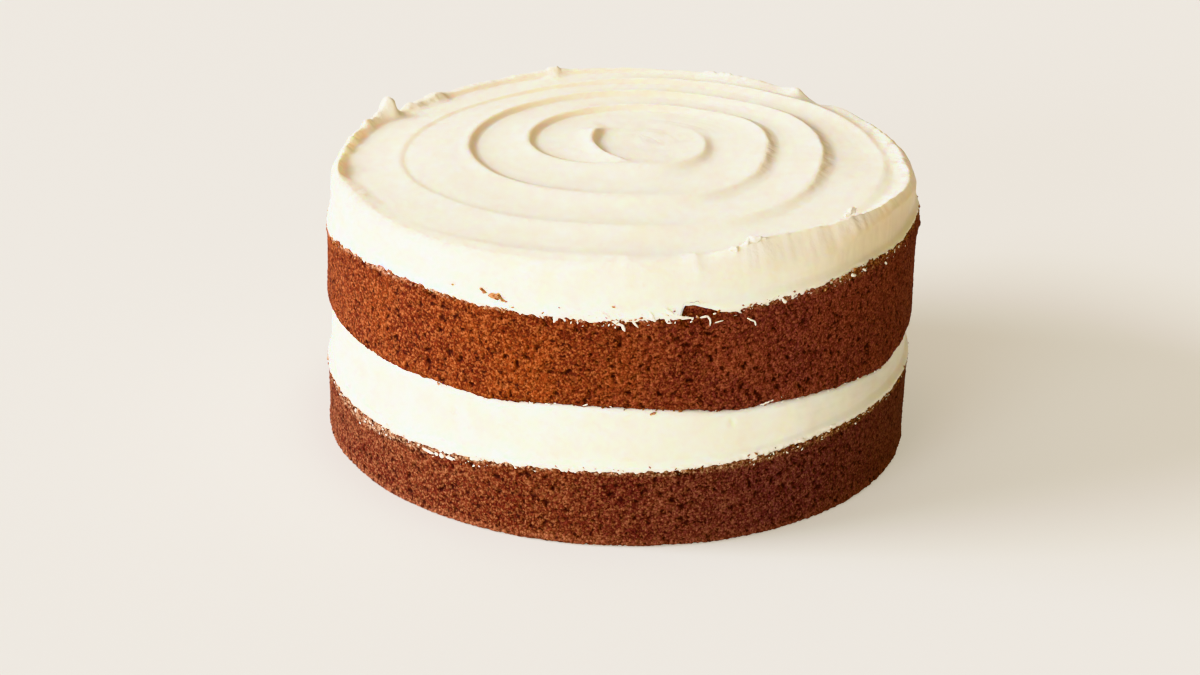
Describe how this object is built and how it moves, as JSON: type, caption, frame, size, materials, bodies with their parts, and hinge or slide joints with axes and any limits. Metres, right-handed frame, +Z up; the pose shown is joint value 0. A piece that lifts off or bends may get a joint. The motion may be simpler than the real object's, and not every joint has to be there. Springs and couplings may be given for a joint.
{
  "type": "layer cake",
  "caption": "Tall round sponge cake in layers, with a thick cream filling, bare sides and a cream topping spread in a spiral.",
  "frame": {"origin": "on the cake's axis at the middle of its flat base", "axes": "+Z up along the cake's axis, -Y towards the front that the source view shows, +X to that view's right"},
  "size_m": [0.2018, 0.2017, 0.1],
  "materials": {
    "lower_sponge": "matte, dark reddish brown, fine open crumb",
    "upper_sponge": "matte, warm mid brown, fine open crumb",
    "cream": "smooth soft sheen, ivory, translucent"
  },
  "bodies": {
    "root": {"sponge_lower": "lower_sponge", "cream_filling": "cream", "sponge_upper": "upper_sponge", "cream_topping": "cream"}
  },
  "joints": []
}
